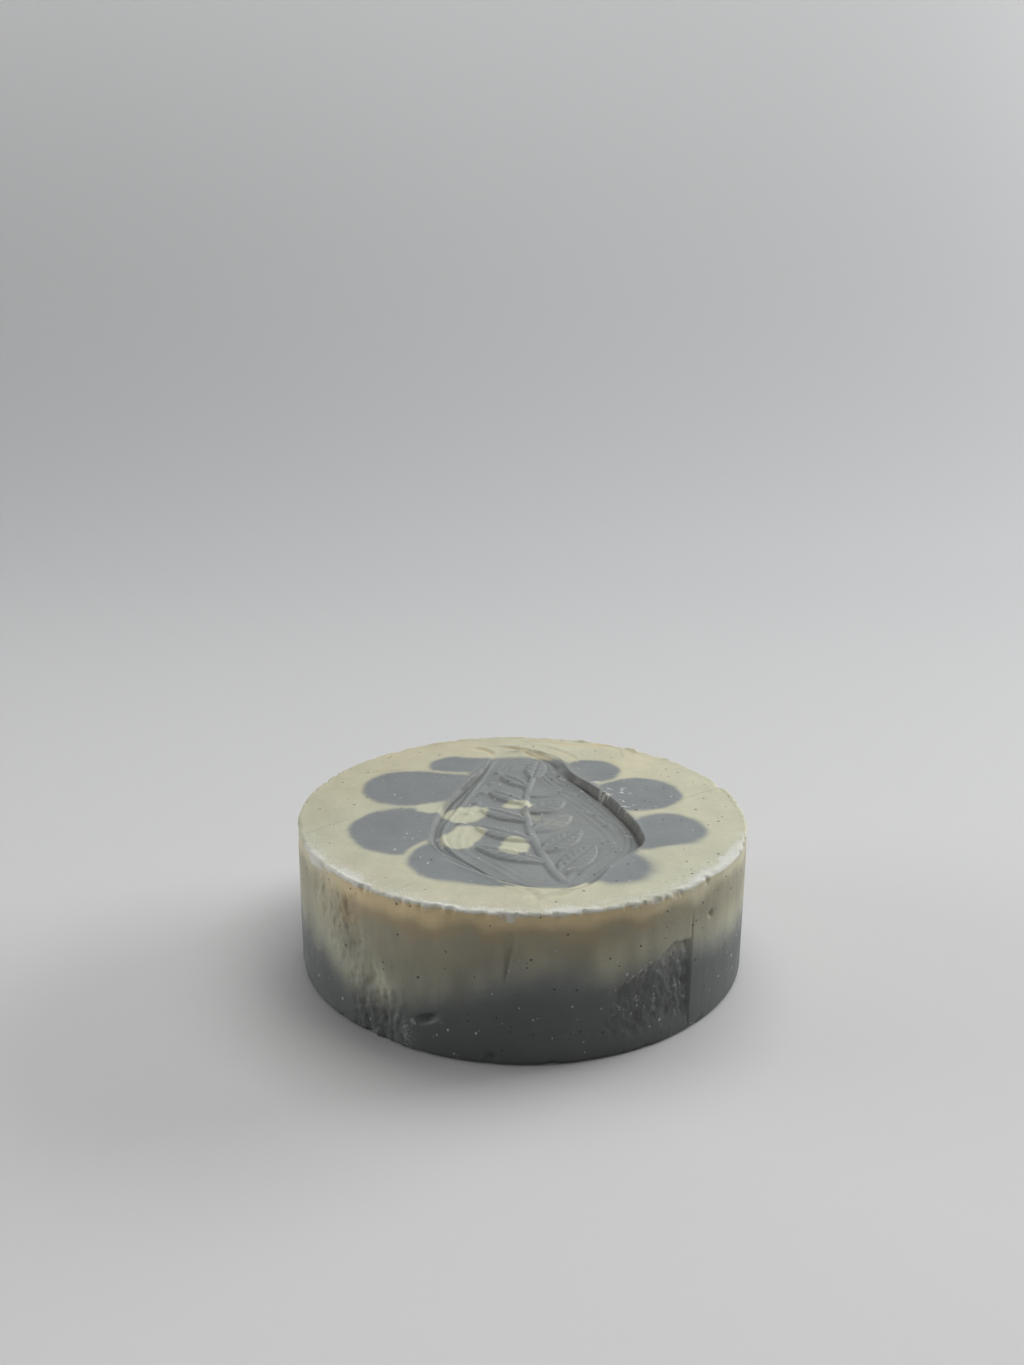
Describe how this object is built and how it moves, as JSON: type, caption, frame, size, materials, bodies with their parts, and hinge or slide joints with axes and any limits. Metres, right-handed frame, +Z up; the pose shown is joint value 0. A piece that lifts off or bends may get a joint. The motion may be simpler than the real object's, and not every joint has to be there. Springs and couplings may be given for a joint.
{
  "type": "shaving soap puck",
  "caption": "Round puck of marbled shaving soap in cream and grey, with a stamped oval medallion of a leafy sprig on its top face and a marbled underside.",
  "frame": {"origin": "middle of the flat underside, on the surface the puck lies on", "axes": "+Z up through the puck's thickness, out of the stamped face; +Y along the length of the stamped oval, which is turned 3 degrees from it, towards the sprig's tip; +X to the right of the sprig"},
  "size_m": [0.076, 0.076, 0.0253],
  "materials": {
    "cream_soap": "matte, waxy, lightly mottled",
    "grey_soap": "matte, waxy, flecked with fine white specks"
  },
  "bodies": {
    "root": {"grey_lower_pour": "grey_soap", "grey_core": "grey_soap", "grey_eye": "grey_soap", "grey_petal_1": "grey_soap", "grey_petal_2": "grey_soap", "grey_petal_3": "grey_soap", "grey_petal_4": "grey_soap", "grey_petal_5": "grey_soap", "grey_petal_6": "grey_soap", "grey_petal_7": "grey_soap", "grey_petal_8": "grey_soap", "cream_upper_pour": "cream_soap", "cream_heart": "cream_soap", "cream_island_1": "cream_soap", "cream_island_2": "cream_soap", "cream_island_3": "cream_soap", "cream_island_4": "cream_soap", "cream_petal_1": "cream_soap", "cream_petal_2": "cream_soap", "cream_petal_3": "cream_soap", "cream_petal_4": "cream_soap", "cream_petal_5": "cream_soap", "cream_petal_6": "cream_soap", "cream_petal_7": "cream_soap", "cream_petal_8": "cream_soap"}
  },
  "joints": []
}
